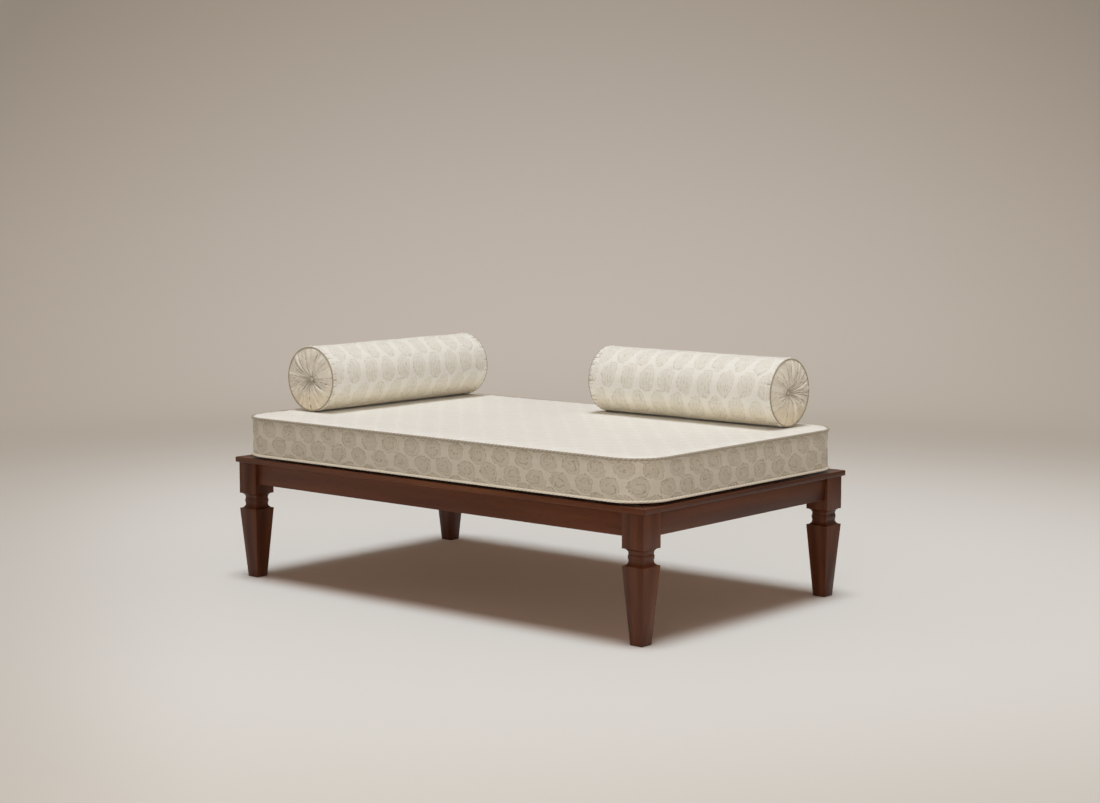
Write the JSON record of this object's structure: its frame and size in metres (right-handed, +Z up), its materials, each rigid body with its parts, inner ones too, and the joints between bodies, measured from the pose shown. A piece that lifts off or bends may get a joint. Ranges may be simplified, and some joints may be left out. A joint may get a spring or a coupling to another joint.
{
  "type": "daybed",
  "caption": "Low hardwood daybed: square tapered legs with coved necks, slatted platform, loose box mattress with piped edges and round bolsters with pleated ends.",
  "frame": {"origin": "on the floor, under the middle of the footprint", "axes": "+Z up, +X along the length towards the right end, +Y towards the back; the front long side faces -Y"},
  "size_m": [1.7068, 1.033, 0.7628],
  "materials": {
    "mahogany": "satin",
    "birch": "matte",
    "zinc_steel": "satin",
    "dull_brass": "satin",
    "ivory_damask": "matte",
    "stone_piping": "matte",
    "zip_tape": "matte",
    "foam": "matte",
    "fibre": "matte"
  },
  "bodies": {
    "frame": {"leg_front_left": "mahogany", "leg_front_right": "mahogany", "leg_back_left": "mahogany", "leg_back_right": "mahogany", "rail_front": "mahogany", "rail_back": "mahogany", "rail_left": "mahogany", "rail_right": "mahogany", "cap_front": "mahogany", "cap_back": "mahogany", "cap_left": "mahogany", "cap_right": "mahogany", "corner_block_front_left": "mahogany", "corner_block_front_right": "mahogany", "corner_block_back_left": "mahogany", "corner_block_back_right": "mahogany", "hanger_bolt_front_left": "zinc_steel", "hanger_bolt_front_right": "zinc_steel", "hanger_bolt_back_left": "zinc_steel", "hanger_bolt_back_right": "zinc_steel", "flange_nut_front_left": "zinc_steel", "flange_nut_front_right": "zinc_steel", "flange_nut_back_left": "zinc_steel", "flange_nut_back_right": "zinc_steel", "slat_ledger_front": "birch", "slat_ledger_back": "birch", "slat_01": "birch", "slat_02": "birch", "slat_03": "birch", "slat_04": "birch", "slat_05": "birch", "slat_06": "birch", "slat_07": "birch", "slat_08": "birch", "slat_09": "birch", "slat_10": "birch", "slat_11": "birch"},
    "mattress": {"mattress_core": "foam", "mattress_cover": "ivory_damask", "mattress_piping_top": "stone_piping", "mattress_piping_bottom": "stone_piping", "mattress_zip_tape": "zip_tape"},
    "mattress_zip": {"mattress_zip_slider": "dull_brass"},
    "side_bolster": {"side_bolster_core": "fibre", "side_bolster_cover": "ivory_damask", "side_bolster_piping_front": "stone_piping", "side_bolster_piping_back": "stone_piping", "side_bolster_button_front": "ivory_damask", "side_bolster_button_back": "ivory_damask", "side_bolster_zip_tape": "zip_tape"},
    "side_bolster_zip": {"side_bolster_zip_slider": "dull_brass"},
    "back_bolster": {"back_bolster_core": "fibre", "back_bolster_cover": "ivory_damask", "back_bolster_piping_left": "stone_piping", "back_bolster_piping_right": "stone_piping", "back_bolster_button_left": "ivory_damask", "back_bolster_button_right": "ivory_damask", "back_bolster_zip_tape": "zip_tape"},
    "back_bolster_zip": {"back_bolster_zip_slider": "dull_brass"}
  },
  "joints": [
    {"name": "mattress_lift", "type": "slide", "parent": "frame", "child": "mattress", "axis": [0, 0, 1], "range_m": [0, 0.35]},
    {"name": "side_bolster_lift", "type": "slide", "parent": "mattress", "child": "side_bolster", "axis": [0, 0, 1], "range_m": [0, 0.3]},
    {"name": "back_bolster_lift", "type": "slide", "parent": "mattress", "child": "back_bolster", "axis": [0, 0, 1], "range_m": [0, 0.3]},
    {"name": "mattress_zip_slide", "type": "slide", "parent": "mattress", "child": "mattress_zip", "axis": [-1, 0, 0], "range_m": [0, 1.278]},
    {"name": "side_bolster_zip_slide", "type": "slide", "parent": "side_bolster", "child": "side_bolster_zip", "axis": [0, -1, 0], "range_m": [0, 0.61]},
    {"name": "back_bolster_zip_slide", "type": "slide", "parent": "back_bolster", "child": "back_bolster_zip", "axis": [-1, 0, 0], "range_m": [0, 0.575]}
  ]
}
